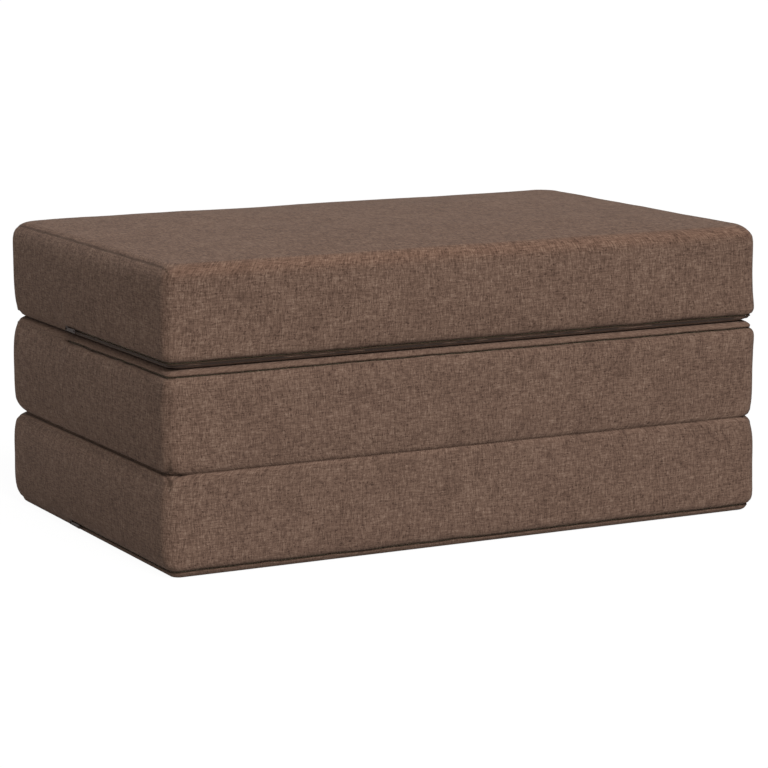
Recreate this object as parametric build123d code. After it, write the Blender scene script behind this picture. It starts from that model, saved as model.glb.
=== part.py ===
from build123d import *
import os
from math import cos, pi, sin, sqrt

# A sofa bed of three equal foam sections in zipped fabric covers, folded up like a letter Z.
# +X runs along the front, +Y to the rear, +Z up. The origin is at the middle of the underside.
# Each section is built lying on its base face, and the middle one is then turned over.

# Whole sections
section_width = 1000.0
section_depth = 633.0
section_height = 149.8
layer_gap = 0.3
fold_clearance = 0.15
crown_height = 5.0
crown_reach_share = 0.34
crown_steps = 3

# Form of the sides
corner_radius = 11.0
base_draw_in = 5.5
sleep_draw_in = 3.3
plan_bow = 3.0
base_steps = 2
side_steps = 2
edge_steps = 3

# Edge roundings: how far each one reaches in over the flat face, and its height on the side
rolled_reach = 10.0
folded_base_reach = 1.5
folded_sleep_reach = 3.5
folded_sleep_height = 8.0
wrap_radius = 19.0
top_radius = 12.0

# Cover panels and the foam in them
cover_thickness = 1.5
foam_clearance = 0.6
end_seam_in = 12.0
fold_seam_in = 9.0

# Zip: a U-shaped run along the front and part of both ends
zip_height = 10.0
zip_band_half = 4.0
zip_run_share = 0.64
slit_height = 3.0
tape_gap = 0.65
tape_thickness = 0.8
tape_width = 13.0
tape_tail = 10.0
base_tape_share = 0.75
coil_gap = 1.2
coil_height = 2.0
coil_depth = 2.0
stop_length = 3.0

# Zip slider and its pull
slider_length = 12.0
slider_width = 7.0
slider_tail_width = 5.4
slider_corner = 1.2
wing_thickness = 1.4
wing_clearance = 0.6
lower_wing_clearance = 0.3
neck_length = 4.0
neck_width = 0.8
neck_setback = 0.6
rail_height = 0.7
rail_clearance = 0.3
rail_width = 0.6
bridge_wall = 1.0
bridge_width = 2.0
bridge_lift = 0.25
pin_radius = 0.8
pin_clearance = 0.35
arm_gap = 0.3
arm_width = 1.2
arm_radius = 1.0
tab_start = 4.0
tab_length = 34.0
tab_end_width = 6.0
tab_thickness = 1.2
tab_corner = 1.1
tab_slot_length = 5.0
tab_slot_width = 1.8
tab_slot_setback = 4.5
slider_park_gap = 1.0
slider_corner_gap = 2.0

# Fabric strips at the two folds
strip_thickness = 1.1
strip_tip_gap = 0.05
strip_seat_gap = 0.25
strip_end_margin = 26.0

# One overrun serves all cuts
overrun = 40.0

# Heights and places worked out from the sizes above
middle_height = section_height / 2
band_low = zip_height - zip_band_half
band_high = zip_height + zip_band_half
half_width = section_width / 2
half_depth = section_depth / 2
zip_end_y = -half_depth + zip_run_share * section_depth
coil_end_y = zip_end_y - tape_tail
coil_half = coil_gap / 2 + coil_height
coil_inset = base_draw_in + cover_thickness + tape_gap
slider_y = coil_end_y - slider_park_gap - slider_length / 2
slider_end_y = -half_depth + base_draw_in + corner_radius + slider_corner_gap + slider_length / 2
slider_travel = slider_y - slider_end_y
lower_wing_face = cover_thickness + tape_gap + coil_depth + lower_wing_clearance
bore_radius = pin_radius + pin_clearance
pin_offset = wing_clearance + wing_thickness + bridge_lift + bore_radius

# Sides of a section, in the order in which its edges are listed
end_sides, front_side, rear_side = range(3)

# Edge kinds, as reach and height
rolled_edge = (rolled_reach, band_low)
folded_base_edge = (folded_base_reach, band_low)
folded_edge = (folded_sleep_reach, folded_sleep_height)
wrapped_edge = (wrap_radius, wrap_radius)
rounded_edge = (top_radius, top_radius)

# For each section its height, whether it is turned over, and its edges at the ends, front and rear
upper_base_z = 2 * (section_height + layer_gap)
middle_base_z = 2 * section_height + layer_gap
sections = {
    "lower": {
        "base_z": 0.0,
        "turned": False,
        "base_edges": (rolled_edge, rolled_edge, rolled_edge),
        "sleep_edges": (folded_edge, folded_edge, wrapped_edge),
        "crown": 0.0,
    },
    "middle": {
        "base_z": middle_base_z,
        "turned": True,
        "base_edges": (rolled_edge, rolled_edge, folded_base_edge),
        "sleep_edges": (folded_edge, folded_edge, folded_edge),
        "crown": 0.0,
    },
    "upper": {
        "base_z": upper_base_z,
        "turned": False,
        "base_edges": (rolled_edge, rolled_edge, folded_base_edge),
        "sleep_edges": (rounded_edge, wrapped_edge, rounded_edge),
        "crown": crown_height,
    },
}


def block(low, high):
    """Upright block between two opposite corner points."""
    size = [b - a for a, b in zip(low, high)]
    centre = [(a + b) / 2 for a, b in zip(low, high)]
    return Pos(*centre) * Box(*size)


def rounding(edge, distance):
    """Inset of a rounded edge on the side face, at a distance from the flat face."""
    reach, height = edge
    if distance >= height:
        return 0.0
    return reach * (1 - sqrt(1 - (1 - distance / height) ** 2))


def draw_in(z):
    """How far a side lies inside its widest plane, which it meets at middle height."""
    if z < middle_height:
        share = (middle_height - z) / (middle_height - band_high)
        return base_draw_in * min(1.0, share) ** 2
    return sleep_draw_in * ((z - middle_height) / middle_height) ** 2


def bow(z):
    """How far the middle of a side swells past its corners in plan."""
    share = abs(z - middle_height) / (middle_height - band_high)
    return plan_bow * max(0.0, 1 - share**2)


def side_line(start, end, swell):
    """One side of a plan outline: an arc with the given swell, or a straight line."""
    if swell == (0.0, 0.0):
        return Line(start, end)
    middle = tuple((a + b) / 2 + s for a, b, s in zip(start, end, swell))
    return ThreePointArc(start, middle, end)


def corner_arc(start, end, centre, radius, signs):
    """Quarter round of a plan outline."""
    middle = tuple(c + s * radius * cos(pi / 4) for c, s in zip(centre, signs))
    return ThreePointArc(start, middle, end)


def plan_face(insets, swell, radius, z, cut_corners=False):
    """Flat face at a height: bowed sides inset at the ends, front and rear, corners round or cut."""
    ends, front, rear = insets
    x = half_width - ends - swell
    y0 = -half_depth + front + swell
    y1 = half_depth - rear - swell
    r = radius
    lines = [
        side_line((-x + r, y0), (x - r, y0), (0.0, -swell)),
        side_line((x, y0 + r), (x, y1 - r), (swell, 0.0)),
        side_line((x - r, y1), (-x + r, y1), (0.0, swell)),
        side_line((-x, y1 - r), (-x, y0 + r), (-swell, 0.0)),
    ]
    for side_x, side_y, edge_y in ((x, -1, y0), (x, 1, y1), (-x, 1, y1), (-x, -1, y0)):
        side = 1 if side_x > 0 else -1
        centre = (side_x - side * r, edge_y - side_y * r)
        start = (centre[0], edge_y)
        end = (side_x, centre[1])
        if cut_corners:
            lines.append(Line(start, end))
        else:
            lines.append(corner_arc(start, end, centre, r, (side, side_y)))
    return Pos(0, 0, z) * make_face(lines)


def quarter_shares(steps):
    """Heights reached by equal turns of a quarter round, as shares of its height."""
    return [sin(pi / 2 * step / steps) for step in range(steps + 1)]


def form_levels(section):
    """Heights at which a section's form changes from one straight strip to the next."""
    sleep_height = max(edge[1] for edge in section["sleep_edges"])
    levels = [band_low * (1 - share) for share in reversed(quarter_shares(base_steps))]
    side_span = middle_height - band_high
    levels += [band_high + side_span * step / side_steps for step in range(side_steps + 1)]
    levels += [section_height - sleep_height * (1 - share) for share in quarter_shares(edge_steps)]
    return levels


def level_inset(section, side, z):
    """Inset of one side of a section's form at one of its levels."""
    from_base = rounding(section["base_edges"][side], z)
    from_sleep_face = rounding(section["sleep_edges"][side], section_height - z)
    return draw_in(z) + from_base + from_sleep_face


def on_strips(section, value, z):
    """What a value of the levels is at a height between them."""
    levels = form_levels(section)
    low, high = next(pair for pair in zip(levels, levels[1:]) if z <= pair[1])
    share = (z - low) / (high - low)
    return (1 - share) * value(low) + share * value(high)


def level_face(section, z, depth_in, cut_corners):
    """Plan face of a section's form at a level of the cover, shrunk inward by depth_in."""
    insets = [level_inset(section, side, z) + depth_in for side in (end_sides, front_side, rear_side)]
    shrunk_z = depth_in + z * (section_height - 2 * depth_in) / section_height
    return plan_face(insets, bow(z), corner_radius - depth_in, shrunk_z, cut_corners)


def crown_outline(section, step, depth_in):
    """Corners of one level of the crown's dome: each step lies further in and higher."""
    share = step / crown_steps
    reach = crown_reach_share * section_depth * share
    ends, front, rear = [sleep_draw_in + edge[0] + depth_in + reach for edge in section["sleep_edges"]]
    x = half_width - ends
    y0 = -half_depth + front
    y1 = half_depth - rear
    z = section_height - depth_in + section["crown"] * sin(share * pi / 2)
    c = corner_radius
    right = [(x - c, y0, z), (x, y0 + c, z), (x, y1 - c, z), (x - c, y1, z)]
    left = [(-corner_x, y, z) for corner_x, y, z in reversed(right)]
    return right + left


def flat_face(corners):
    """Flat face through corner points."""
    return Face(Wire.make_polygon(corners))


def dome(section, depth_in):
    """Crown of flat facets, steeper near its edge than in its middle."""
    outlines = [crown_outline(section, step, depth_in) for step in range(crown_steps + 1)]
    faces = [flat_face(outlines[0]), flat_face(outlines[-1])]
    for low, high in zip(outlines, outlines[1:]):
        for k in range(len(low)):
            faces.append(flat_face([low[k - 1], low[k], high[k], high[k - 1]]))
    return Solid(Shell(faces))


def cushion(section, depth_in, cut_corners=False):
    """Form of a covered section: rolled base edge, zip band, swelling sides, sleep edge and crown."""
    faces = [level_face(section, z, depth_in, cut_corners) for z in form_levels(section)]
    form = loft(faces, ruled=True)
    if section["crown"]:
        form += dome(section, depth_in)
    return form


def inner_wall(z):
    """Inset and swell of the cover's inner wall at a true height near the zip."""
    section = sections["lower"]
    z_cover = (z - cover_thickness) * section_height / (section_height - 2 * cover_thickness)
    inset = on_strips(section, lambda level: level_inset(section, end_sides, level), z_cover)
    return inset + cover_thickness, on_strips(section, bow, z_cover)


def zip_run(end_y):
    """Block over the front and both ends that holds the zip's U-shaped run."""
    low = (-half_width - overrun, -half_depth - overrun, -overrun)
    high = (half_width + overrun, end_y, middle_height)
    return block(low, high)


def ring(edges, thickness):
    """Thin upright band inside the cover. Each of its two edges has an inset, a swell and a height."""
    walls = []
    for extra in (0.0, thickness):
        radius = corner_radius - cover_thickness - extra
        faces = [plan_face([inset + extra] * 3, swell, radius, z) for inset, swell, z in edges]
        walls.append(loft(faces, ruled=True))
    return walls[0] - walls[1]


def cover_panels(section):
    """Sewn panels of one cover, cut from one shell along its seam planes."""
    shell = cushion(section, 0.0) - cushion(section, cover_thickness)
    slit_low = (-half_width - overrun, -half_depth - overrun, zip_height - slit_height / 2)
    slit_high = (half_width + overrun, zip_end_y, zip_height + slit_height / 2)
    shell -= block(slit_low, slit_high)

    far_x = half_width + overrun
    far_y = half_depth + overrun
    far_z = section_height + overrun
    seam_x = half_width - end_seam_in
    ends_edge, front_edge, rear_edge = section["sleep_edges"]
    front_seam = -half_depth + seam_inset(front_edge)
    rear_seam = half_depth - seam_inset(rear_edge)
    panels = {
        "base_panel": block((-far_x, -far_y, -overrun), (far_x, far_y, zip_height)),
        "left_gusset": block((-far_x, -far_y, zip_height), (-seam_x, far_y, far_z)),
        "right_gusset": block((seam_x, -far_y, zip_height), (far_x, far_y, far_z)),
    }
    sleep_front = -far_y
    sleep_rear = far_y
    if front_edge != wrapped_edge:
        sleep_front = front_seam
        panels["front_gusset"] = block((-seam_x, -far_y, zip_height), (seam_x, front_seam, far_z))
    if rear_edge != wrapped_edge:
        sleep_rear = rear_seam
        panels["rear_gusset"] = block((-seam_x, rear_seam, zip_height), (seam_x, far_y, far_z))
    panels["sleep_panel"] = block((-seam_x, sleep_front, zip_height), (seam_x, sleep_rear, far_z))
    return {name: shell & region for name, region in panels.items()}


def seam_inset(edge):
    """Distance from the side's widest plane to the seam that runs along a sleep edge."""
    return end_seam_in if edge == rounded_edge else fold_seam_in


def foam_core(section):
    """Foam block with cut corners, relieved behind the zip and along the slider's lane."""
    foam = cushion(section, cover_thickness + foam_clearance, cut_corners=True)
    relief_inset = coil_inset + coil_depth + 2 * foam_clearance
    relief_top = zip_height + coil_half + tape_width + foam_clearance
    inside = plan_face([relief_inset] * 3, 0.0, corner_radius, -overrun)
    relief = zip_run(zip_end_y + foam_clearance) - extrude(inside, amount=2 * overrun + relief_top)
    relief &= block(
        (-section_width, -section_depth, -overrun), (section_width, section_depth, relief_top)
    )
    foam -= relief
    lane_inset = base_draw_in + lower_wing_face + wing_thickness + foam_clearance
    lane_half = slider_width / 2 + foam_clearance
    lane_low = (-half_width - overrun, slider_end_y - slider_length, zip_height - lane_half)
    lane_high = (-half_width + lane_inset, coil_end_y + slider_length, zip_height + lane_half)
    return foam - block(lane_low, lane_high)


def zip_tapes():
    """Woven tape on each side of the coils: one is sewn to the gussets, one to the base panel."""
    tapes = {}
    top = zip_height + coil_half
    bottom = zip_height - coil_half
    spans = {"gusset_tape": (top, top + tape_width), "base_tape": (band_low * base_tape_share, bottom)}
    for name, span in spans.items():
        edges = []
        for z in span:
            inset, swell = inner_wall(z)
            edges.append((inset + tape_gap, swell, z))
        tapes[name] = ring(edges, tape_thickness) & zip_run(zip_end_y)
    return tapes


def zip_coils():
    """Two coil rows that stand a neck's width apart behind the slit."""
    rows = []
    for low in (zip_height + coil_gap / 2, zip_height - coil_half):
        edges = [(coil_inset, 0.0, z) for z in (low, low + coil_height)]
        rows.append(ring(edges, coil_depth) & zip_run(coil_end_y))
    return Compound(rows)


def zip_stops():
    """Crimped stop behind the last coil at each end of the run."""
    stops = []
    for side in (-1, 1):
        outer_x = side * (half_width - coil_inset)
        inner_x = outer_x - side * coil_depth
        low = (min(outer_x, inner_x), coil_end_y, zip_height - coil_half)
        high = (max(outer_x, inner_x), coil_end_y + stop_length, zip_height + coil_half)
        stops.append(block(low, high))
    return Compound(stops)


def on_left_end(piece):
    """Place a piece at the slider's parked place: its +X points out and its +Y to the front."""
    return Pos(-half_width + base_draw_in, slider_y, zip_height) * Rot(0, 0, 180) * piece


def wing(x_low, x_high):
    """One plate of the slider, wider at the end where the coil rows part."""
    rear = -slider_length / 2
    front = slider_length / 2
    wide = slider_width / 2
    tail = slider_tail_width / 2
    corners = [(rear, -wide), (0.0, -wide), (front, -tail), (front, tail), (0.0, wide), (rear, wide)]
    face = make_face(Polyline(*corners, close=True))
    face = chamfer(face.vertices(), slider_corner)
    return extrude(Plane.YZ.offset(x_low) * face, amount=x_high - x_low)


def zip_slider():
    """Slider: two wings on a neck between the coil rows, inner rails and the pull's bridge."""
    inner_face = -lower_wing_face
    body = wing(wing_clearance, wing_clearance + wing_thickness)
    body += wing(inner_face - wing_thickness, inner_face)
    neck_rear = -slider_length / 2 + neck_setback
    body += block(
        (inner_face, neck_rear, -neck_width / 2),
        (wing_clearance, neck_rear + neck_length, neck_width / 2),
    )
    for side in (-1, 1):
        rail_z = coil_half + rail_clearance
        z_low, z_high = sorted((side * rail_z, side * (rail_z + rail_width)))
        body += block((inner_face, neck_rear, z_low), (inner_face + rail_height, 0.0, z_high))
    wing_top = wing_clearance + wing_thickness
    arch_radius = bore_radius + bridge_wall
    arch = make_face([Line((0, -arch_radius), (0, arch_radius)),
                      ThreePointArc((0, arch_radius), (arch_radius, 0), (0, -arch_radius))])
    foot = Pos((wing_top - pin_offset) / 2, 0) * Rectangle(pin_offset - wing_top, 2 * arch_radius)
    profile = arch + foot - Circle(bore_radius)
    body += Pos(pin_offset, 0, -bridge_width / 2) * extrude(profile, amount=bridge_width)
    return on_left_end(body)


def zip_pull():
    """Pull: a pin through the bridge, two arms beside it and a flat tab with a slot."""
    arm_z = bridge_width / 2 + arm_gap
    pull = Cylinder(pin_radius, 2 * (arm_z + arm_width))
    arm_face = Circle(arm_radius)
    arm_length = tab_start + 2 * tab_corner
    arm_face += Pos(0, arm_length / 2) * Rectangle(tab_thickness, arm_length)
    for z_low in (arm_z, -arm_z - arm_width):
        pull += Pos(0, 0, z_low) * extrude(arm_face, amount=arm_width)
    root = arm_z + arm_width
    end = tab_end_width / 2
    tab_end = tab_start + tab_length
    corners = [(tab_start, -root), (tab_end, -end), (tab_end, end), (tab_start, root)]
    tab = make_face(Polyline(*corners, close=True))
    tab = chamfer(tab.vertices(), tab_corner)
    tab -= Pos(tab_end - tab_slot_setback, 0) * Rectangle(tab_slot_length, tab_slot_width)
    pull += extrude(Plane.YZ.offset(-tab_thickness / 2) * tab, amount=tab_thickness)
    return on_left_end(Pos(pin_offset, 0, 0) * pull)


def fold_strip(section, side, flat_z, inner_z):
    """Half of a fold's fabric strip, from the fold line back to the sewn edge of one section."""
    seat = on_strips(section, lambda level: level_inset(section, side, level), inner_z)
    half_length = half_width - strip_end_margin
    tip_y = half_depth + fold_clearance - strip_tip_gap
    seat_y = half_depth - seat + strip_seat_gap
    if side == front_side:
        seat_y, tip_y = -seat_y, -tip_y
    y_low, y_high = sorted((seat_y, tip_y))
    z_low, z_high = sorted((flat_z, inner_z))
    return block((-half_length, y_low, z_low), (half_length, y_high, z_high))


def fold_strips(section):
    """The strip halves sewn to a section: at the front of its sleep face, at the rear of its base."""
    strips = {}
    if section["sleep_edges"][front_side] == folded_edge:
        inner_z = section_height - strip_thickness
        strips["front_fold_strip"] = fold_strip(section, front_side, section_height, inner_z)
    if section["base_edges"][rear_side] == folded_base_edge:
        strips["rear_fold_strip"] = fold_strip(section, rear_side, 0.0, strip_thickness)
    return strips


def place(section, piece):
    """Move a piece from its section's own frame into the stack."""
    if section["turned"]:
        piece = Rot(0, 180, 0) * piece
    return Pos(0, 0, section["base_z"]) * piece


def build_nodes():
    """Every piece of the sofa bed, by node name."""
    tapes = zip_tapes()
    shared = {
        "zip_gusset_tape": tapes["gusset_tape"],
        "zip_base_tape": tapes["base_tape"],
        "zip_coils": zip_coils(),
        "zip_stops": zip_stops(),
        "zip_slider": zip_slider(),
        "zip_pull": zip_pull(),
    }
    nodes = {}
    for section_name, section in sections.items():
        pieces = {"foam_core": foam_core(section)}
        pieces.update(cover_panels(section))
        pieces.update(fold_strips(section))
        pieces.update(shared)
        for piece_name, piece in pieces.items():
            nodes[f"{section_name}_{piece_name}"] = place(section, piece)
    return nodes


os.makedirs("parts", exist_ok=True)
for node_name, node in build_nodes().items():
    export_step(node, f"parts/{node_name}.step")

print(f"slider travel {slider_travel:.2f}, parked at y {slider_y:.2f}")
print(f"pin at x {half_width - base_draw_in + pin_offset:.2f}")
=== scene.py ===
import math

import bmesh
import bpy
import numpy as np
from mathutils import Euler, Matrix, Vector, kdtree, noise


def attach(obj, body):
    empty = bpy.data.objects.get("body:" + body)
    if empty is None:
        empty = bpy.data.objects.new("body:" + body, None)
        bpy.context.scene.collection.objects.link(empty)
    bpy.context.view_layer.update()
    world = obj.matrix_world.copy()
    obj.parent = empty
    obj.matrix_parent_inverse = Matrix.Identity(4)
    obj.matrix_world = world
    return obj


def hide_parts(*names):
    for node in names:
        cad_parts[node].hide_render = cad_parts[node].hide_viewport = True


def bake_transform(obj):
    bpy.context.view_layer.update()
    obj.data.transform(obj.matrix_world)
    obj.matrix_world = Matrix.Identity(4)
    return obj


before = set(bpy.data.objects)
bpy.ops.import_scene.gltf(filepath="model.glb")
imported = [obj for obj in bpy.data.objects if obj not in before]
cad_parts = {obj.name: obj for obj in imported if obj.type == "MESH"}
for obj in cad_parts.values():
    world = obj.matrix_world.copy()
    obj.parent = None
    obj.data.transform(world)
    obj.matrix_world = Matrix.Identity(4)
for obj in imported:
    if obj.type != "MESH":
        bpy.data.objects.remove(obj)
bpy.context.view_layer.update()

# The sofa bed's looks: three fabric-covered foam sections, their zips and two fold strips.
# Lengths are in metres, in the CAD's own frame. Each section is made lying on its base face.

# Form of a section: the solids' size and sides, with rounder corners
HALF_WIDTH = 0.5
HALF_DEPTH = 0.3165
HEIGHT = 0.1498
LAYER_GAP = 0.0003
FOLD_CLEARANCE = 0.00015
MIDDLE_HEIGHT = HEIGHT / 2
BASE_DRAW_IN = 0.0055
SLEEP_DRAW_IN = 0.0033
BAND_LOW = 0.006
BAND_HIGH = 0.014
PLAN_BOW = 0.003
CORNER_RADIUS = 0.022
CROWN = 0.0048
CROWN_REACH = 0.2

# Edge kinds, as reach over the flat face and height on the side
ROLLED = (0.010, 0.0098)
FLOOR = (0.0115, 0.0140)
TUCKED = (0.0155, 0.0152)
FOLDED_BASE = (0.0015, BAND_LOW)
FOLDED = (0.0045, 0.008)
EASED = (0.0055, 0.010)
SOFT = (0.007, 0.011)
DROPPED = (0.017, 0.014)
WRAPPED = (0.019, 0.019)
ROUNDED = (0.016, 0.016)
TUFTED = (0.020, 0.031)

# How much a corner's radius grows towards a flat face, and from which distance; the front corners are
# narrower at the zip
FLOOR_CORNERS = ((-0.005, 0.010), (0.0, 0.010))
BASE_CORNERS = ((0.010, 0.006), (0.019, 0.013))
ZIP_CORNER_NARROWING = 0.006
ZIP_CORNER_REACH = 0.035
HELD_CORNERS = (0.006, 0.010)
LOOSE_CORNERS = (0.034, 0.018)
TOP_CORNERS = (0.008, 0.020)
CORNER_SOFTNESS = 1.5

# Zip line: its height, how far and how fast it wanders, and where the slider's way keeps it straight
ZIP_HEIGHT = 0.010
ZIP_WANDER = 0.0009
ZIP_WANDER_SCALES = (16, 45)
SLIDER_WAY_X = -0.440
SLIDER_WAY_REACH = 0.045

# The zip's slit, its closing beyond the run, and its lips, as distance from the slit and depth inward
SLIT_HALF = 0.0008
ZIP_SHARE_OF_END = 0.64
ZIP_END_Y = -HALF_DEPTH + ZIP_SHARE_OF_END * 2 * HALF_DEPTH
ZIP_CLOSING = 0.012
LIP_OVERLAP = 0.0005
SHUT_LIP_DEPTH = 0.15
LIP = ((0.0030, 0.0), (0.0020, 0.0003), (0.0012, 0.0009), (0.0005, 0.0016), (0.0, 0.0023))

# Seams: how far in they run, also where they rise over the top's tufted edge, and their groove
END_SEAM_IN = 0.007
END_SEAM_TOP_IN = 0.0115
END_SEAM_RISE = (0.030, 0.024)
TOP_SEAM_IN = 0.012
FOLD_SEAM_IN = 0.009
SEAM_WANDER = 0.0006
SEAM_WANDER_SCALE = 22
SEAM_WANDER_STRETCH = np.array([0.3, 1, 1])
SEAM_WIDTH = 0.0012
SEAM_DEPTH = 0.0009

# How far the filled sides hang over the zip, and where that starts and how fast it rises
OVERHANG = 0.0034
OVERHANG_START = 0.0112
OVERHANG_RISE = 0.0035

# Inside the cover: foam, with its relief behind the zip, tapes and coils
COVER_THICKNESS = 0.0015
FOAM_CLEARANCE = 0.0006
FOAM_STEP = 0.020
FOAM_CORNER = np.array([0.0, 0.004])
FOAM_LOW_LEVELS = (0.004, 0.008)
FOAM_SIDE_START = 0.0005
FOAM_SIDE_ROWS = 8
FOAM_TOP_ROWS = 6
RELIEF_IN = 0.0122
RELIEF_HEIGHT = 0.0268
RELIEF_CUT = 0.006
TAPE_GAP = 0.00065
TAPE_THICKNESS = 0.0008
GUSSET_TAPE = (0.0126, 0.0256)
BASE_TAPE = (0.0046, 0.0074)
COIL_IN = 0.00765
COIL_DEPTH = 0.0020
COIL_LEVELS = ((0.0074, 0.0094), (0.0106, 0.0126))
COIL_BEVEL = 0.0005
COIL_CORNER = 0.0112
TAPE_CORNER = 0.0200
COIL_END_IN = 0.010
COIL_END_Y = ZIP_END_Y - COIL_END_IN

# Fold strips: cloth and bend, and for each how far in its bend and its legs lie, and where and how
# tightly its ends curve in round the corners
STRIP_HALF_LENGTH = 0.474
STRIP_THICKNESS = 0.0011
STRIP_HALF_GAP = 0.0007
STRIP_BEND = 0.0007
STRIP_BEND_POINTS = 9
STRIP_SEED = 5.0
FRONT_STRIP = {"tip_in": 0.0068, "leg_in": 0.0095, "turn_x": 0.4617, "turn_radius": 0.028}
REAR_STRIP = {"tip_in": 0.0040, "leg_in": 0.0090, "turn_x": 0.4435, "turn_radius": 0.041}

# Grid of a cover: columns, denser beside the corners, and rows from the base panel to the sleep face
STEP = 0.008
ARC_STEPS = 5
COARSE_ARC_STEPS = 2
NEAR_CORNER = np.array([0.0, 0.0010, 0.0020, 0.0032, 0.0048, 0.0070, 0.0100, 0.0140, 0.0190])
BASE_ROWS_TOP = 0.0042
BASE_ROWS = 7
SIDE_LEVELS = (0.0165, 0.0185, 0.021)
SIDE_ROWS_START = 0.0245
SIDE_ROWS = 15
TOP_DISTANCES = np.array(
    [19, 16, 12.5, 10.5, 8.9, 7.4, 6, 4.7, 3.5, 2.5, 1.6, 1.1, 0.72, 0.56, 0.43, 0.32, 0.22, 0.07, 0]
) / 1000

# How near to a flat face's height a point counts as lying on it
FLAT_TOLERANCE = 1e-5

# Simulated filling: its grid and levels, pressure, frames, the most it may move the cloth, how it is
# spread over the cover, and how near to the zip, the seams and a flat face the cloth is held
FILLING_STEP = 0.016
FILLING_CORNER = np.array([0.0, 0.008])
FILLING_SIDE = np.linspace(0.022, HEIGHT - 0.022, 9)
FILLING_TOP = HEIGHT - np.array([0.010, 0.003, 0])
FILLING_LEVELS = np.array([0.0, 0.004, ZIP_HEIGHT, *FILLING_SIDE, *FILLING_TOP])
FILLING_PRESSURE = 4.0
FILLING_FRAMES = 20
FILLING_MOST = 0.0026
FILLING_SPREAD = 0.012
FILLING_NEAREST = 8
FILLING_LEAST_WEIGHT = 1e-9
SEAM_HOLD = 0.008
FLAT_HOLD = 0.001

# Unevenness of the filled cover: swells, each with its noise's scale, share and seed
SWELL_AMPLITUDE = 0.0009
SWELLS = ((6, 1.0, 0.0), (17, 0.45, 3.0))
SWELL_ZIP_CLEARANCE = 0.020
SWELL_FLAT_CLEARANCE = 0.012
SWELL_TOP_GAIN = 1.3

# Puckers beside the zip and the seams
PUCKER_AMPLITUDE = 0.0007
PUCKER_SCALE = 42
PUCKER_STRETCH = np.array([1, 1, 0.25])
PUCKER_REACH = 0.013
PUCKER_CLEARANCE = 0.006
PUCKER_BEYOND_ZIP = 0.2
SEAM_PUCKER = 0.6
SEAM_PUCKER_REACH = 0.009
FLAT_PUCKER = 0.4

# Normals that count as facing straight up or down, and where the side's share starts and fades
FLAT_NORMAL = 0.98
SIDE_NORMAL = 0.6
SIDE_NORMAL_FADE = 0.35

# Painted shade in the seams and at the zip, and the painted warm highlight on the top's rounded front
# edge
SIDE_SEAM_PAINTED_SHADE = 0.25
ZIP_PAINTED_SHADE = 0.7
ZIP_PAINTED_SHADE_WIDTH = 0.0026
EDGE_HIGHLIGHT_START = 0.006
EDGE_HIGHLIGHT_REACH = 0.022

# Seeds are moved by these steps for each kind of noise, and along each axis
SEED_AXES = (1.0, 1.7, 2.3)
ZIP_SEED = 5
SEAM_SEED = 9
PUCKER_SEED = 21
PANEL_SEED = 0.37

# Edges kept crisp, and the small bevel on metal
CRISP_ANGLE = math.radians(50)
BEVEL_WIDTH = 0.00025
BEVEL_ANGLE = math.radians(40)

# Camera fitted to the photograph, light and surround
CAMERA_PLACE = (-2.089, -4.0547, 0.9863)
CAMERA_LENS = 137.7
CAMERA_PITCH = math.radians(9.85)
CAMERA_YAW = math.radians(27.33)
CAMERA_ROLL = math.radians(-0.22)
SUN_TOWARDS = Vector((-0.03, -0.70, 0.715))
SUN_ENERGY = 3.05
SUN_ANGLE = math.radians(25)
SURROUND_LIGHT = 0.38
SURROUND_TINT = (1.0, 0.955, 0.87, 1)
WHITE = (1, 1, 1, 1)
FLOOR_HALF_SIZE = 30.0
FLOOR_DROP = 0.0002
FLOOR_COLOUR = (0.45, 0.45, 0.45, 1)
FLOOR_GLOW = 1.07
FLOOR_GLOW_SHARE = 0.9

# Each section: whether its front and its rear lie at a hinge, its place, its edges at the ends, front
# and rear, its corners, how much of the overhang goes on past the zip's end, and how full it is
SECTIONS = {
    "lower": {
        "hinged": (True, False),
        "base_z": 0.0,
        "turned": False,
        "base_edges": (FLOOR, FLOOR, FLOOR),
        "base_corners": FLOOR_CORNERS,
        "hang_past_zip": 1.0,
        "sleep_edges": (SOFT, FOLDED, WRAPPED),
        "sleep_corners": (HELD_CORNERS, LOOSE_CORNERS),
        "crown": 0.0,
        "fullness": 0.0062,
        "seed": 11.0,
    },
    "middle": {
        "hinged": (True, True),
        "base_z": 2 * HEIGHT + LAYER_GAP,
        "turned": True,
        "base_edges": (ROLLED, ROLLED, FOLDED_BASE),
        "base_corners": BASE_CORNERS,
        "hang_past_zip": 0.2,
        "sleep_edges": (EASED, FOLDED, DROPPED),
        "sleep_corners": (HELD_CORNERS, LOOSE_CORNERS),
        "crown": 0.0,
        "fullness": 0.0036,
        "seed": 37.0,
    },
    "upper": {
        "hinged": (False, True),
        "base_z": 2 * (HEIGHT + LAYER_GAP),
        "turned": False,
        "base_edges": (TUCKED, TUCKED, FOLDED_BASE),
        "base_corners": BASE_CORNERS,
        "hang_past_zip": 0.0,
        "sleep_edges": (TUFTED, WRAPPED, ROUNDED),
        "sleep_corners": (TOP_CORNERS, TOP_CORNERS),
        "crown": CROWN,
        "fullness": 0.0012,
        "seed": 73.0,
    },
}


def rounding(edge, distance):
    """Inset of a rounded edge on the side face, at a distance from the flat face."""
    reach, height = edge
    share = np.clip(1 - distance / height, 0, 1)
    return reach * (1 - np.sqrt(1 - share**2))


def draw_in(z):
    """How far a side lies inside its widest plane at a height."""
    low = BASE_DRAW_IN * np.clip((MIDDLE_HEIGHT - z) / (MIDDLE_HEIGHT - BAND_HIGH), 0, 1) ** 2
    high = SLEEP_DRAW_IN * np.clip((z - MIDDLE_HEIGHT) / MIDDLE_HEIGHT, 0, 1) ** 2
    return low + high


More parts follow.
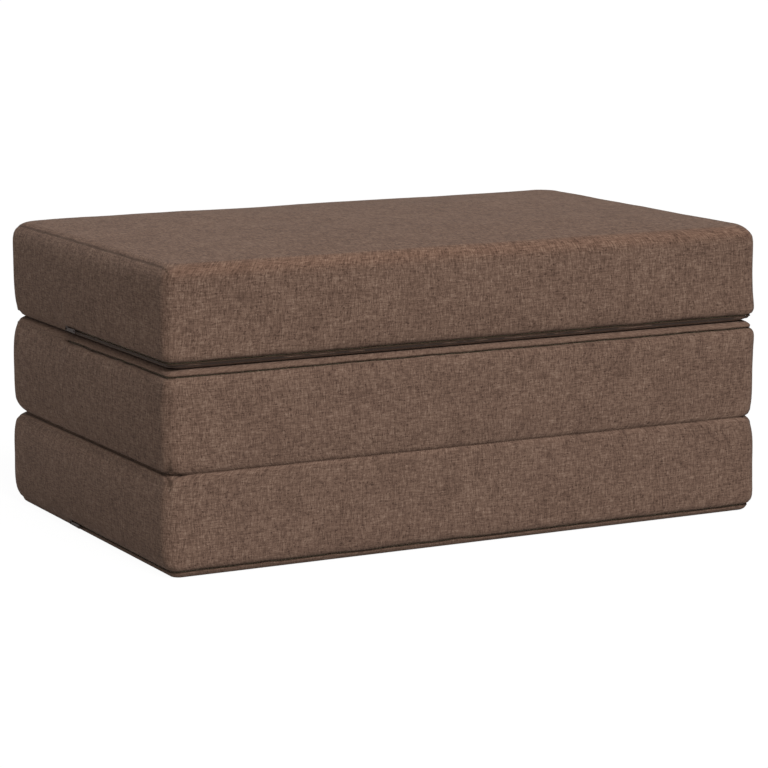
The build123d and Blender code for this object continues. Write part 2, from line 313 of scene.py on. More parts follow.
def overhang(z):
    """How far the filled side hangs over the zip, past the plain draw-in."""
    rise = 1 - np.exp(-np.maximum(z - OVERHANG_START, 0) / OVERHANG_RISE)
    return OVERHANG * rise * np.clip((MIDDLE_HEIGHT - z) / (MIDDLE_HEIGHT - BAND_HIGH), 0, 1) ** 1.5


def bow(z):
    """How far the middle of a side swells past its corners in plan."""
    return PLAN_BOW * np.clip(1 - ((z - MIDDLE_HEIGHT) / (MIDDLE_HEIGHT - BAND_HIGH)) ** 2, 0, 1)


def fullness(section, z):
    """How far the ends of a section bulge past the solid, as foam under a load does."""
    share = np.abs(z - MIDDLE_HEIGHT) / (MIDDLE_HEIGHT - BAND_HIGH)
    return section["fullness"] * np.clip(1 - share**4, 0, 1)


def corner_radii(section, level):
    """Radius of the front corners and of the rear ones at a level."""
    radii = []
    corners = zip(section["base_corners"], section["sleep_corners"], (ZIP_CORNER_NARROWING, 0.0))
    for (base_reach, base_height), (sleep_reach, sleep_height), narrowing in corners:
        near_zip = narrowing * (1 - smooth((level - BAND_HIGH) / ZIP_CORNER_REACH))
        near_base = base_reach * max(1 - level / base_height, 0) ** CORNER_SOFTNESS
        near_sleep = sleep_reach * max(1 - (HEIGHT - level) / sleep_height, 0) ** CORNER_SOFTNESS
        radii.append(CORNER_RADIUS - near_zip + near_base + near_sleep)
    return radii


def ring(plans, section, level, deep, hang=0.0):
    """Points round a section at one level, set in by a depth and hanging out over the zip."""
    insets = []
    for base, sleep in zip(section["base_edges"], section["sleep_edges"]):
        inset = draw_in(level) + rounding(base, level) + rounding(sleep, HEIGHT - level)
        insets.append(np.array([[inset + deep - hang]]))
    insets[0] = insets[0] - fullness(section, level)
    swell = np.array([[bow(level)]])
    loops = []
    for radius in corner_radii(section, level):
        loops.append(loop_points(plans, *insets, np.array([[radius - deep]]), swell, level)[0])
    rear = smooth(loops[0][:, 1] / HALF_DEPTH + 0.5)[:, None]
    return (1 - rear) * loops[0] + rear * loops[1]


def zip_opening(y):
    """1 along the zip's run, falling to 0 beyond its end."""
    return smooth((ZIP_END_Y - y) / ZIP_CLOSING)


def end_seam_in(section, z):
    """How far in from a section's end the seam of its gusset runs, further in over a tufted edge."""
    below, run = END_SEAM_RISE
    share = smooth((z - HEIGHT + below) / run) if section["crown"] else 0.0
    return END_SEAM_IN + (END_SEAM_TOP_IN - END_SEAM_IN) * share


def smooth(share):
    """Smooth rise from 0 to 1."""
    share = np.clip(share, 0, 1)
    return share * share * (3 - 2 * share)


def noise_at(points, scale, seed):
    """Smooth noise, about -1 to 1, at each point."""
    offset = Vector([seed * step for step in SEED_AXES])
    flat = points.reshape(-1, 3)
    values = [noise.noise(Vector(p) * scale + offset) for p in flat]
    return np.array(values).reshape(points.shape[:-1])


def side_places(half_length, step, arc_steps, near_corner):
    """Columns of one side: angles in its half corners and shares of its straight part between."""
    inner = half_length - near_corner[-1]
    count = int(round(2 * inner / step))
    middle = np.linspace(-inner, inner, count + 1)[1:-1]
    straight = np.concatenate([near_corner - half_length, middle, (half_length - near_corner)[::-1]])
    return {
        "angles": np.linspace(math.pi / 4, 0, arc_steps + 1)[:-1],
        "shares": straight / half_length,
    }


def side_points(places, low, high, across, radius, swell):
    """Along and outward positions of one side's columns, from corner to corner, for each row."""
    sines, cosines = np.sin(places["angles"]), np.cos(places["angles"])
    half = (high - low) / 2 - radius
    shares = places["shares"]
    straight = (low + high) / 2 + shares * half
    first = low + radius - radius * sines
    last = (high - radius + radius * sines)[:, ::-1]
    along = np.concatenate([first, straight, last], axis=1)
    arc = across - radius * (1 - cosines)
    out = np.concatenate([arc, across + swell * (1 - shares**2), arc[:, ::-1]], axis=1)
    return along, out


def loop_points(plans, ends, front, rear, radius, swell, z):
    """Rows of points round the plan, from the rear left corner by left, front, right and rear."""
    x = HALF_WIDTH - ends - swell
    y0 = -HALF_DEPTH + front + swell
    y1 = HALF_DEPTH - rear - swell
    end_y, end_x = side_points(plans["end"], y0, y1, x, radius, swell)
    front_x, front_y = side_points(plans["long"], -x, x, -y0, radius, swell)
    rear_x, rear_y = side_points(plans["long"], -x, x, y1, radius, swell)
    left_side = (-end_x[:, ::-1], end_y[:, ::-1])
    rear_side = (rear_x[:, ::-1], rear_y[:, ::-1])
    sides = [left_side, (front_x, -front_y), (end_x, end_y), rear_side]
    xs = np.concatenate([side[0][:, :-1] for side in sides], axis=1)
    ys = np.concatenate([side[1][:, :-1] for side in sides], axis=1)
    return np.stack([xs, ys, np.broadcast_to(z, xs.shape)], axis=-1)


def make_plans(step, arc_steps, near_corner):
    """Columns of the long sides and the ends."""
    return {
        "long": side_places(HALF_WIDTH - CORNER_RADIUS, step, arc_steps, near_corner),
        "end": side_places(HALF_DEPTH - CORNER_RADIUS, step, arc_steps, near_corner),
    }


COVER_PLANS = make_plans(STEP, ARC_STEPS, NEAR_CORNER)


def side_counts(plans):
    """Number of columns along an end and along a long side."""
    return [2 * len(plans[k]["angles"]) + len(plans[k]["shares"]) - 1 for k in ("end", "long")]


def flat_grid(loop, counts):
    """Points that fill a loop, row by row from front to rear, by blending its four sides."""
    end_count, long_count = counts
    left = loop[: end_count + 1][::-1]
    front = loop[end_count : end_count + long_count + 1]
    right = loop[end_count + long_count : 2 * end_count + long_count + 1]
    rear = np.concatenate([loop[2 * end_count + long_count :], loop[:1]])[::-1]
    u = (front[:, 0] - front[0, 0]) / (front[-1, 0] - front[0, 0])
    v = (left[:, 1] - left[0, 1]) / (left[-1, 1] - left[0, 1])
    u, v = u[None, :, None], v[:, None, None]
    ruled = (1 - v) * front[None] + v * rear[None] + (1 - u) * left[:, None] + u * right[:, None]
    corners = (1 - u) * (1 - v) * front[0] + u * (1 - v) * front[-1]
    corners = corners + (1 - u) * v * rear[0] + u * v * rear[-1]
    return ruled - corners


def loop_index(rows, columns, counts, loop_columns):
    """For the border of a flat grid, the loop's column at each place; elsewhere -1."""
    end_count, long_count = counts
    found = np.full((rows, columns), -1)
    found[:, 0] = np.arange(end_count, -1, -1)
    found[0, :] = np.arange(end_count, end_count + long_count + 1)
    found[:, -1] = np.arange(end_count + long_count, 2 * end_count + long_count + 1)
    rear = np.arange(2 * end_count + long_count, loop_columns + 1) % loop_columns
    found[-1, :] = rear[::-1]
    return found


def seam_places(section):
    """Inset of the sleep face's seam at the front and at the rear, or None where the panel wraps."""
    insets = []
    for edge in section["sleep_edges"][1:]:
        if edge == WRAPPED:
            insets.append(None)
        else:
            insets.append(TOP_SEAM_IN if edge == ROUNDED else FOLD_SEAM_IN)
    return insets


def slit_rows():
    """Rows of both lips of the zip's slit: side of the slit, distance from it, and depth inward."""
    return [(-1, away, deep) for away, deep in LIP] + [(1, away, deep) for away, deep in reversed(LIP)]


def slit_line(loop, seed):
    """Height of the slit's middle and half its opening at each column of the loop."""
    slow, fast = ZIP_WANDER_SCALES
    wander = ZIP_WANDER * noise_at(loop, slow, seed) + ZIP_WANDER * noise_at(loop, fast, seed + ZIP_SEED)
    wander *= 1 - smooth((SLIDER_WAY_X - loop[:, 0]) / SLIDER_WAY_REACH)
    opening = zip_opening(loop[:, 1])
    return ZIP_HEIGHT + wander, SLIT_HALF * opening - LIP_OVERLAP * (1 - opening)


def cover_rows(section, plans):
    """All rows of a section's side as points, and how many of them are its base panel's."""
    base_z = BASE_ROWS_TOP * (1 - np.sin(np.linspace(math.pi / 2, 0, BASE_ROWS)))
    side_z = np.linspace(SIDE_ROWS_START, HEIGHT - TOP_DISTANCES[0], SIDE_ROWS)
    side_z = np.concatenate([SIDE_LEVELS, side_z, HEIGHT - TOP_DISTANCES[1:]])
    plain = loop_points(plans, *[np.array([[v]]) for v in (0, 0, 0, CORNER_RADIUS, 0, ZIP_HEIGHT)])
    middle, half = slit_line(plain[0], section["seed"])

    rows = [(np.full(plain.shape[1], z), z, 0.0) for z in base_z]
    for side, away, deep in slit_rows():
        rows.append((middle + side * (half + away), ZIP_HEIGHT + side * (SLIT_HALF + away), deep))
    rows += [(np.full(plain.shape[1], z), z, 0.0) for z in side_z]

    opening = zip_opening(plain[0][:, 1])[:, None]
    hang = section["hang_past_zip"]
    points = []
    for heights, level, deep in rows:
        beside = ring(plans, section, level, deep, overhang(level))
        beyond = ring(plans, section, level, SHUT_LIP_DEPTH * deep, hang * overhang(level))
        row = opening * beside + (1 - opening) * beyond
        row[:, 2] = heights
        points.append(row)
    return np.array(points), BASE_ROWS + len(LIP)


def crown_height(section, x, y):
    """Rise of the sleep face over its edge."""
    ends, front, rear = [SLEEP_DRAW_IN + edge[0] for edge in section["sleep_edges"]]
    from_end = np.clip((HALF_WIDTH - ends - np.abs(x)) / CROWN_REACH, 0, 1)
    from_front = np.clip((y + HALF_DEPTH - front) / CROWN_REACH, 0, 1)
    from_rear = np.clip((HALF_DEPTH - rear - y) / CROWN_REACH, 0, 1)
    rise = [np.sin(share * math.pi / 2) for share in (from_end, from_front, from_rear)]
    return section["crown"] * rise[0] * rise[1] * rise[2]


def grid_normals(vertices, faces):
    """Smooth normal of each vertex."""
    a, b, c, d = [vertices[faces[:, k]] for k in range(4)]
    face_normals = np.cross(c - a, d - b)
    normals = np.zeros_like(vertices)
    for k in range(4):
        np.add.at(normals, faces[:, k], face_normals)
    return normals / np.maximum(np.linalg.norm(normals, axis=1), 1e-12)[:, None]


def seam_distance(section, points):
    """Distance of each point to the nearest seam above the zip, across the seam."""
    x, y, z = points.T
    stretched = points * SEAM_WANDER_STRETCH
    wander = SEAM_WANDER * noise_at(stretched, SEAM_WANDER_SCALE, section["seed"] + SEAM_SEED)
    seam_x = HALF_WIDTH - end_seam_in(section, z)
    distance = np.abs(np.abs(x) - seam_x + wander)
    near_top = (np.abs(x) < seam_x) & (z > HEIGHT - ROUNDED[1])
    for seam_in, outward in zip(seam_places(section), (-1, 1)):
        if seam_in is not None:
            across = np.abs(y - outward * (HALF_DEPTH - seam_in) + wander)
            distance = np.where(near_top, np.minimum(distance, across), distance)
    return np.where(z > ZIP_HEIGHT, distance, 1.0)


def panel_of(section, centre, is_base):
    """Name of the cover panel that holds a face."""
    if is_base:
        return "base_panel"
    x, y, z = centre
    if abs(x) > HALF_WIDTH - end_seam_in(section, z):
        return "left_gusset" if x < 0 else "right_gusset"
    front_in, rear_in = seam_places(section)
    if front_in is not None and y < -HALF_DEPTH + front_in:
        return "front_gusset"
    if rear_in is not None and y > HALF_DEPTH - rear_in:
        return "rear_gusset"
    return "sleep_panel"


def place_points(section, points):
    """Move points from a section's own frame into the stack."""
    placed = points.copy()
    if section["turned"]:
        placed[..., 0] *= -1
        placed[..., 2] *= -1
    placed[..., 2] += section["base_z"]
    return placed


def new_object(name, vertices, faces, material):
    """Smooth-shaded mesh object from points and faces."""
    mesh = bpy.data.meshes.new(name)
    mesh.from_pydata([tuple(v) for v in vertices], [], [tuple(int(i) for i in f) for f in faces])
    mesh.update()
    mesh.shade_smooth()
    mesh.materials.append(material)
    piece = bpy.data.objects.new(name, mesh)
    bpy.context.scene.collection.objects.link(piece)
    return piece


def grid_faces(index):
    """Quads of a grid of vertex numbers."""
    return np.stack([index[:-1, :-1], index[:-1, 1:], index[1:, 1:], index[1:, :-1]], -1).reshape(-1, 4)


def closed_grid(rows, counts):
    """Points of a closed form: numbers of its side's grid, and of its base and sleep faces."""
    row_count, column_count = rows.shape[:2]
    vertices = [rows.reshape(-1, 3)]
    side_index = np.arange(row_count * column_count).reshape(row_count, column_count)
    total = row_count * column_count
    flat_indices = []
    for row in (0, row_count - 1):
        grid = flat_grid(rows[row], counts)
        border = loop_index(*grid.shape[:2], counts, column_count)
        index = np.where(border >= 0, side_index[row][border], -1)
        inner = border < 0
        index[inner] = total + np.arange(inner.sum())
        vertices.append(grid[inner])
        total += inner.sum()
        flat_indices.append(index)
    around = np.concatenate([side_index, side_index[:, :1]], axis=1)
    return np.concatenate(vertices), around, flat_indices


def closed_faces(around, flat_indices):
    """Quads of a closed form, from the numbers of its side and its flat faces."""
    return np.concatenate([grid_faces(index) for index in (around, *flat_indices)])


def running_length(points):
    """Length along a line of points, from its start to each of them."""
    return np.concatenate([[0], np.cumsum(np.linalg.norm(np.diff(points, axis=0), axis=1))])


def quad_corners(grid):
    """Values at the four corners of each quad of a grid of values."""
    corners = [grid[:-1, :-1], grid[:-1, 1:], grid[1:, 1:], grid[1:, :-1]]
    return np.stack(corners, 2).reshape(-1, 4, grid.shape[-1])


def cover_faces(section, rows, base_count, vertices, around, flat_indices):
    """Quads of a cover, where each corner lies in its cloth, and which quads are the base panel's."""
    end_count, long_count = side_counts(COVER_PLANS)
    row_count = len(rows)
    closed_rows = np.concatenate([rows, rows[:, :1]], axis=1)
    u_line = running_length(closed_rows[row_count // 2])
    front_column = end_count + long_count // 2
    v_line = running_length(rows[:, front_column])
    side_uv = np.stack(np.meshgrid(u_line, v_line), -1)
    faces, face_uv, is_base = [], [], []
    for low, high, base in ((0, base_count, True), (base_count, row_count, False)):
        faces.append(grid_faces(around[low:high]))
        face_uv.append(quad_corners(side_uv[low:high]))
        is_base.append(np.full(len(faces[-1]), base))
    front_u = u_line[front_column]
    rear_u = u_line[2 * end_count + long_count + long_count // 2]
    for index, base in zip(flat_indices, (True, False)):
        quads = grid_faces(index)
        if base:
            quads = quads[:, ::-1]
        x, y = vertices[quads][:, :, 0], vertices[quads][:, :, 1]
        if base:
            uv = np.stack([front_u + x, -HALF_DEPTH - y], -1)
        elif section["sleep_edges"][2] == WRAPPED:
            uv = np.stack([rear_u - x, v_line[-1] + HALF_DEPTH - y], -1)
        else:
            uv = np.stack([front_u + x, v_line[-1] + y + HALF_DEPTH], -1)
        faces.append(quads)
        face_uv.append(uv)
        is_base.append(np.full(len(quads), base))
    return np.concatenate(faces), np.concatenate(face_uv), np.concatenate(is_base)


def raise_crown(section, vertices, sleep_face_z):
    """Lift the points of a form's sleep face to its crown."""
    rise = crown_height(section, *vertices[:, :2].T)
    vertices[:, 2] += np.where(vertices[:, 2] > sleep_face_z - FLAT_TOLERANCE, rise, 0)


def add_values(piece, label, kind, domain, values):
    """Store values for the material on a piece's points or face corners."""
    layer = piece.data.attributes.new(label, kind, domain)
    field = "vector" if kind == "FLOAT_VECTOR" else "value"
    layer.data.foreach_set(field, values.astype(np.float32).ravel())


def make_cover(name, section, material):
    """The sewn panels of one cover, each as a piece of its own."""
    rows, base_count = cover_rows(section, COVER_PLANS)
    vertices, around, flat_indices = closed_grid(rows, side_counts(COVER_PLANS))
    faces, face_uv, is_base = cover_faces(section, rows, base_count, vertices, around, flat_indices)
    raise_crown(section, vertices, HEIGHT)
    # closeness is painted shade in the seams' and the zip's grooves, stored as the cover's seam values
    closeness, moved = shape_details(section, vertices, grid_normals(vertices, faces))
    # Share of the painted warm highlight on the top's rounded front edge
    edge_highlight = painted_edge_highlight(section, vertices)
    moved += spread_shift(*filling_shift(name, section, material), vertices)
    vertices = keep_inside(section, moved)
    normals = place_points({**section, "base_z": 0.0}, grid_normals(vertices, faces))
    placed = place_points(section, vertices)
    centres = vertices[faces].mean(axis=1)
    names = np.array([panel_of(section, c, b) for c, b in zip(centres, is_base)])
    pieces = {}
    for number, panel in enumerate(sorted(set(names))):
        chosen = names == panel
        used, local = np.unique(faces[chosen], return_inverse=True)
        piece = new_object(f"{name}_{panel}_fabric", placed[used], local.reshape(-1, 4), material)
        uv = face_uv[chosen].reshape(-1, 2)
        cloth = np.column_stack([uv, np.full(len(uv), PANEL_SEED * number + section["seed"])])
        add_values(piece, "cloth", "FLOAT_VECTOR", "CORNER", cloth)
        # The seam values are painted shade: they darken the cloth in the seams' and the zip's grooves
        add_values(piece, "seam", "FLOAT", "POINT", closeness[used])
        add_values(piece, "edge", "FLOAT", "POINT", edge_highlight[used])
        piece.data.normals_split_custom_set_from_vertices([tuple(n) for n in normals[used]])
        pieces[panel] = piece
    return pieces


def filling_shift(name, section, material):
    """Points of a coarse form of a section, and how a cloth simulation of its filling moves them."""
    plans = make_plans(FILLING_STEP, COARSE_ARC_STEPS, FILLING_CORNER)
    rows = np.array([ring(plans, section, level, 0.0) for level in FILLING_LEVELS])
    points, around, flat_indices = closed_grid(rows, side_counts(plans))
    raise_crown(section, points, HEIGHT)
    faces = closed_faces(around, flat_indices)
    piece = new_object(f"{name}_filling", points, faces, material)
    face_outward(piece.data)
    held = points[:, 2] < ZIP_HEIGHT + FLAT_HOLD
    held |= seam_distance(section, points) < SEAM_HOLD
    if not section["crown"]:
        held |= points[:, 2] > HEIGHT - FLAT_HOLD
    group = piece.vertex_groups.new(name="held")
    group.add([int(number) for number in np.flatnonzero(held)], 1.0, "REPLACE")
    cloth = piece.modifiers.new("filling", "CLOTH")
    cloth.settings.use_pressure = True
    cloth.settings.uniform_pressure_force = FILLING_PRESSURE
    cloth.settings.vertex_group_mass = "held"
    cloth.settings.effector_weights.gravity = 0
    cloth.point_cache.frame_start = 1
    cloth.point_cache.frame_end = FILLING_FRAMES
    scene = bpy.context.scene
    for number in range(1, FILLING_FRAMES + 1):
        scene.frame_set(number)
    filled = piece.evaluated_get(bpy.context.evaluated_depsgraph_get())
    mesh = filled.to_mesh()
    places = np.empty(3 * len(mesh.vertices))
    mesh.vertices.foreach_get("co", places)
    filled.to_mesh_clear()
    bpy.data.objects.remove(piece)
    scene.frame_set(1)
    shift = places.reshape(-1, 3) - points
    most = np.linalg.norm(shift, axis=1).max()
    return points, shift * min(1, FILLING_MOST / most)


def spread_shift(points, shift, targets):
    """Movement at each target, from the simulated points around it."""
    tree = kdtree.KDTree(len(points))
    for number, point in enumerate(points):
        tree.insert(point, number)
    tree.balance()
    moves = np.zeros_like(targets)
    for number, target in enumerate(targets):
        near = tree.find_n(target, FILLING_NEAREST)
        weights = np.array([math.exp(-((away / FILLING_SPREAD) ** 2)) for _, _, away in near])
        weights += FILLING_LEAST_WEIGHT
        moves[number] = weights @ shift[[index for _, index, _ in near]] / weights.sum()
    return moves


def swell_offset(section, points, on_sleep_face, on_base_face):
    """How far the filling swells the cover, fading beside the zip and a section's flat faces."""
    swell = 0.0
    for scale, share, seed_step in SWELLS:
        swell = swell + share * noise_at(points, scale, section["seed"] + seed_step)
    z = points[:, 2]
    swell = SWELL_AMPLITUDE * swell * smooth((z - BAND_HIGH) / SWELL_ZIP_CLEARANCE)
    if section["crown"]:
        return np.where(on_base_face, 0.0, np.where(on_sleep_face, SWELL_TOP_GAIN * swell, swell))
    near_flat = smooth(np.minimum(z, HEIGHT - z) / SWELL_FLAT_CLEARANCE)
    return np.where(on_sleep_face | on_base_face, 0.0, swell * near_flat)


def pucker_offset(section, points, seam, inward_only):
    """Small folds of the cloth beside the zip and the seams; on a face that stays flat, only inward."""
    y, z = points[:, 1], points[:, 2]
    wave = noise_at(points * PUCKER_STRETCH, PUCKER_SCALE, section["seed"] + PUCKER_SEED)
    beside_zip = PUCKER_BEYOND_ZIP + (1 - PUCKER_BEYOND_ZIP) * zip_opening(y)
    fade = np.exp(-np.abs(z - ZIP_HEIGHT) / PUCKER_REACH) * smooth((z - BAND_HIGH) / PUCKER_CLEARANCE)
    beside_seam = SEAM_PUCKER * np.exp(-seam / SEAM_PUCKER_REACH)
    puckers = PUCKER_AMPLITUDE * wave * np.maximum(beside_zip * fade, beside_seam)
    return np.where(inward_only, -FLAT_PUCKER * np.abs(puckers), puckers)


def shape_details(section, points, normals):
    """Painted shade at the seams and the zip, and points moved by swells, puckers and the seams'
    grooves.
    """
    y, z = points[:, 1], points[:, 2]
    on_sleep_face = normals[:, 2] > FLAT_NORMAL
    on_base_face = normals[:, 2] < -FLAT_NORMAL
    inward_only = on_base_face if section["crown"] else on_sleep_face | on_base_face
    seam = seam_distance(section, points)
    closeness = np.exp(-((seam / SEAM_WIDTH) ** 2))
    offset = swell_offset(section, points, on_sleep_face, on_base_face)
    offset = offset + pucker_offset(section, points, seam, inward_only) - SEAM_DEPTH * closeness
    moved = points + normals * offset[:, None]
    side = 1 - smooth((np.abs(normals[:, 2]) - SIDE_NORMAL) / SIDE_NORMAL_FADE)
    # Painted shade in the zip's groove: the cloth darkens within a few millimetres of the slit
    zip_painted_shade = np.exp(-((np.abs(z - ZIP_HEIGHT) / ZIP_PAINTED_SHADE_WIDTH) ** 2)) * side * zip_opening(y)
    # Painted shade along the seams' grooves, weaker on the sides than on the top
    faded = np.where(z < HEIGHT - WRAPPED[1], SIDE_SEAM_PAINTED_SHADE, 1.0)
    return np.maximum(faded * closeness, ZIP_PAINTED_SHADE * zip_painted_shade), moved


def keep_inside(section, points):
    """Points kept above the base plane, under a flat sleep face and behind the hinge planes."""
    front, rear = section["hinged"]
    kept = points.copy()
    kept[:, 1] = np.maximum(kept[:, 1], -HALF_DEPTH) if front else kept[:, 1]
    kept[:, 1] = np.minimum(kept[:, 1], HALF_DEPTH) if rear else kept[:, 1]
    kept[:, 2] = np.maximum(kept[:, 2], 0.0)
    if not section["crown"]:
        kept[:, 2] = np.minimum(kept[:, 2], HEIGHT)
    return kept


def painted_edge_highlight(section, points):
    """How near a point is to the top's rounded front edge, which gets a painted warm highlight."""
    if not section["crown"]:
        return np.zeros(len(points))
    away = np.hypot(points[:, 1] + HALF_DEPTH, points[:, 2] - HEIGHT)
    return 1 - smooth((away - EDGE_HIGHLIGHT_START) / EDGE_HIGHLIGHT_REACH)


def face_outward(mesh):
    """Turn a closed mesh's faces outward and keep its edges crisp."""
    form = bmesh.new()
    form.from_mesh(mesh)
    bmesh.ops.recalc_face_normals(form, faces=form.faces)
    form.to_mesh(mesh)
    form.free()
    mesh.set_sharp_from_angle(angle=CRISP_ANGLE)


def sweep_piece(name, rings, material, seed):
    """Closed band through rings of points, with flat ends and cloth places along and around it."""
    count, size = rings.shape[:2]
    index = np.arange(count * size).reshape(count, size)
    around = np.concatenate([index, index[:, :1]], axis=1)
    faces = grid_faces(around).tolist() + [index[0].tolist(), index[-1].tolist()]
    piece = new_object(name, rings.reshape(-1, 3), faces, material)
    face_outward(piece.data)
    u, v = np.meshgrid(running_length(rings[:, 0]), running_length(rings[0]), indexing="ij")
    add_values(piece, "cloth", "FLOAT_VECTOR", "POINT", np.stack([u, v, np.full(u.shape, seed)], -1))
    return piece


def zip_band(name, section, profile, end_y, widest, material):
    """Band along the zip's run. Its profile lists inset, swell and height round the band."""
    end_count, long_count = side_counts(COVER_PLANS)
    lines = []
    for inset, swell, z in profile:
        behind = inset - draw_in(z) - rounding(ROLLED, z)
        radius = min(corner_radii(section, z)[0] - behind, widest)
        values = [np.array([[v]]) for v in (inset, inset, inset, radius, swell, z)]
        run = loop_points(COVER_PLANS, *values)[0][: 2 * end_count + long_count + 1]
        run = run[run[:, 1] < end_y]
        ends = run[[0, -1]].copy()
        ends[:, 1] = end_y
        lines.append(np.concatenate([ends[:1], run, ends[1:]]))
    rings = place_points(section, np.stack(lines, axis=1))
    return sweep_piece(name, rings, material, section["seed"])


def tape_profile(levels):
    """Corners of a tape's section: it lies along the cover's inner wall between two heights."""
    profile = []
    for depth, heights in ((0.0, levels), (TAPE_THICKNESS, levels[::-1])):
        for z in heights:
            wall = draw_in(z) + rounding(ROLLED, z)
            profile.append((wall + COVER_THICKNESS + TAPE_GAP + depth, bow(z), z))
    return profile


def coil_profile(levels):
    """Corners of a coil row's section, a block with cut edges."""
    low, high = levels
    near, far = COIL_IN, COIL_IN + COIL_DEPTH
    cut = COIL_BEVEL
    corners = [(near, low + cut), (near, high - cut), (near + cut, high), (far - cut, high)]
    corners += [(far, high - cut), (far, low + cut), (far - cut, low), (near + cut, low)]
    return [(inset, 0.0, z) for inset, z in corners]


def make_zip(name, section, materials):
    """Tapes and coil rows of one zip."""
    tape, coil = materials
    for side, levels in (("gusset", GUSSET_TAPE), ("base", BASE_TAPE)):
        profile = tape_profile(levels)
        piece = zip_band(f"{name}_zip_{side}_webbing", section, profile, ZIP_END_Y, TAPE_CORNER, tape)
        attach(piece, f"{name}_section")
        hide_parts(f"{name}_zip_{side}_tape")
    for side, levels in zip(("base", "gusset"), COIL_LEVELS):
        profile = coil_profile(levels)
        piece = zip_band(f"{name}_zip_{side}_coil", section, profile, COIL_END_Y, COIL_CORNER, coil)
        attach(piece, f"{name}_section")
        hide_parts(f"{name}_zip_coils")


def make_foam(name, section, material):
    """Foam block inside a cover, cut back behind the zip."""
    plans = make_plans(FOAM_STEP, COARSE_ARC_STEPS, FOAM_CORNER)
    depth = COVER_THICKNESS + FOAM_CLEARANCE
    side = np.linspace(RELIEF_HEIGHT + FOAM_SIDE_START, HEIGHT - WRAPPED[1], FOAM_SIDE_ROWS)
    turns = np.linspace(0, math.pi / 2, FOAM_TOP_ROWS + 1)[1:]
    top = HEIGHT - WRAPPED[1] + (WRAPPED[1] - depth) * np.sin(turns)
    rows = []
    for z in (depth, *FOAM_LOW_LEVELS, RELIEF_HEIGHT, *side, *top):
        row = ring(plans, section, HEIGHT * (z - depth) / (HEIGHT - 2 * depth), depth)
        row[:, 2] = z
        if z <= RELIEF_HEIGHT:
            row = relieve(row)
        rows.append(row)
    vertices, around, flat_indices = closed_grid(np.array(rows), side_counts(plans))
    raise_crown(section, vertices, HEIGHT - depth)
    faces = closed_faces(around, flat_indices)
    piece = new_object(f"{name}_foam_block", place_points(section, vertices), faces, material)
    face_outward(piece.data)
    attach(piece, f"{name}_section")
    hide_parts(f"{name}_foam_core")


def relieve(row):
    """Move a foam row's points in behind the zip's run."""
    x, y, z = row.T
    beside = y < ZIP_END_Y + FOAM_CLEARANCE
    x_limit = HALF_WIDTH - RELIEF_IN
    y_limit = HALF_DEPTH - RELIEF_IN
    x = np.where(beside, np.clip(x, -x_limit, x_limit), x)
    y = np.maximum(y, -y_limit)
    past = np.abs(x) - y - (x_limit + y_limit - RELIEF_CUT)
    cut = np.where(past > 0, past / 2, 0)
    return np.stack([x - np.sign(x) * cut, y + cut, z], axis=1)


def make_fold(bodies, side_y, hinge_z, form, material):
    """Cloth strip sewn across a fold: two legs between the sections and a bend at the hinge."""
    leg_in, tip_in = form["leg_in"], form["tip_in"]
    turn_x, turn_radius = form["turn_x"], form["turn_radius"]
    outward = math.copysign(1, side_y)
    turns = np.linspace(-math.pi / 2, math.pi / 2, STRIP_BEND_POINTS)
    bend = [(tip_in + STRIP_BEND * (1 - math.cos(turn)), math.sin(turn)) for turn in turns]
    insets, heights = np.array([(leg_in, -1.0), *bend, (leg_in, 1.0)]).T
    line = np.stack([outward * (HALF_DEPTH - insets), hinge_z + STRIP_HALF_GAP * heights], axis=1)
    slopes = np.gradient(line, axis=0)
    normals = np.stack([-slopes[:, 1], slopes[:, 0]], axis=1)
    normals *= STRIP_THICKNESS / 2 / np.linalg.norm(normals, axis=1)[:, None]
    outline = np.concatenate([line + normals, (line - normals)[::-1]])
    xs = np.linspace(-STRIP_HALF_LENGTH, STRIP_HALF_LENGTH, int(2 * STRIP_HALF_LENGTH / STEP) + 1)
    past_turn = np.maximum(np.abs(xs) - turn_x, 0)
    retreats = outward * (turn_radius - np.sqrt(turn_radius**2 - past_turn**2))
    rings = np.array([[(x, y - retreat, z) for y, z in outline] for x, retreat in zip(xs, retreats)])
    first, second = bodies
    side = "front" if side_y < 0 else "rear"
    piece = sweep_piece(f"{side}_fold_cloth", rings, material, STRIP_SEED)
    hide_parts(f"{first}_{side}_fold_strip", f"{second}_{side}_fold_strip")
    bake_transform(piece)


# Materials


def node(tree, kind, inputs=None, **settings):
    """New shader node with its settings and input values or links."""
    made = tree.nodes.new("ShaderNode" + kind)
    for key, value in settings.items():
        setattr(made, key, value)
    for key, value in (inputs or {}).items():
        if isinstance(value, bpy.types.NodeSocket):
            tree.links.new(value, made.inputs[key])
        else:
            made.inputs[key].default_value = value
    return made


def math_node(tree, operation, first, second=0.0):
    """Output of a Math node."""
    return node(tree, "Math", {0: first, 1: second}, operation=operation).outputs[0]


def weighted_sum(tree, parts):
    """Sum of outputs, each multiplied by its share."""
    total = 0.0
    for output, share in parts:
        total = math_node(tree, "ADD", math_node(tree, "MULTIPLY", output, share), total)
    return total


def seen_rays(tree):
    """1 for rays that show a surface to the camera, also by reflection or through glass, and else 0."""
    path = node(tree, "LightPath")
    shown = math_node(tree, "MAXIMUM", path.outputs["Is Camera Ray"], path.outputs["Is Glossy Ray"])
    return math_node(tree, "MAXIMUM", shown, path.outputs["Is Transmission Ray"])


def ramp(tree, factor, stops):
    """Output of a colour ramp with the given places and colours."""
    made = node(tree, "ValToRGB", {"Fac": factor})
    elements = made.color_ramp.elements
    while len(elements) < len(stops):
        elements.new(0.5)
    for element, (place, colour) in zip(elements, stops):
        element.position = place
        element.color = (*colour, 1)
    return made.outputs["Color"]


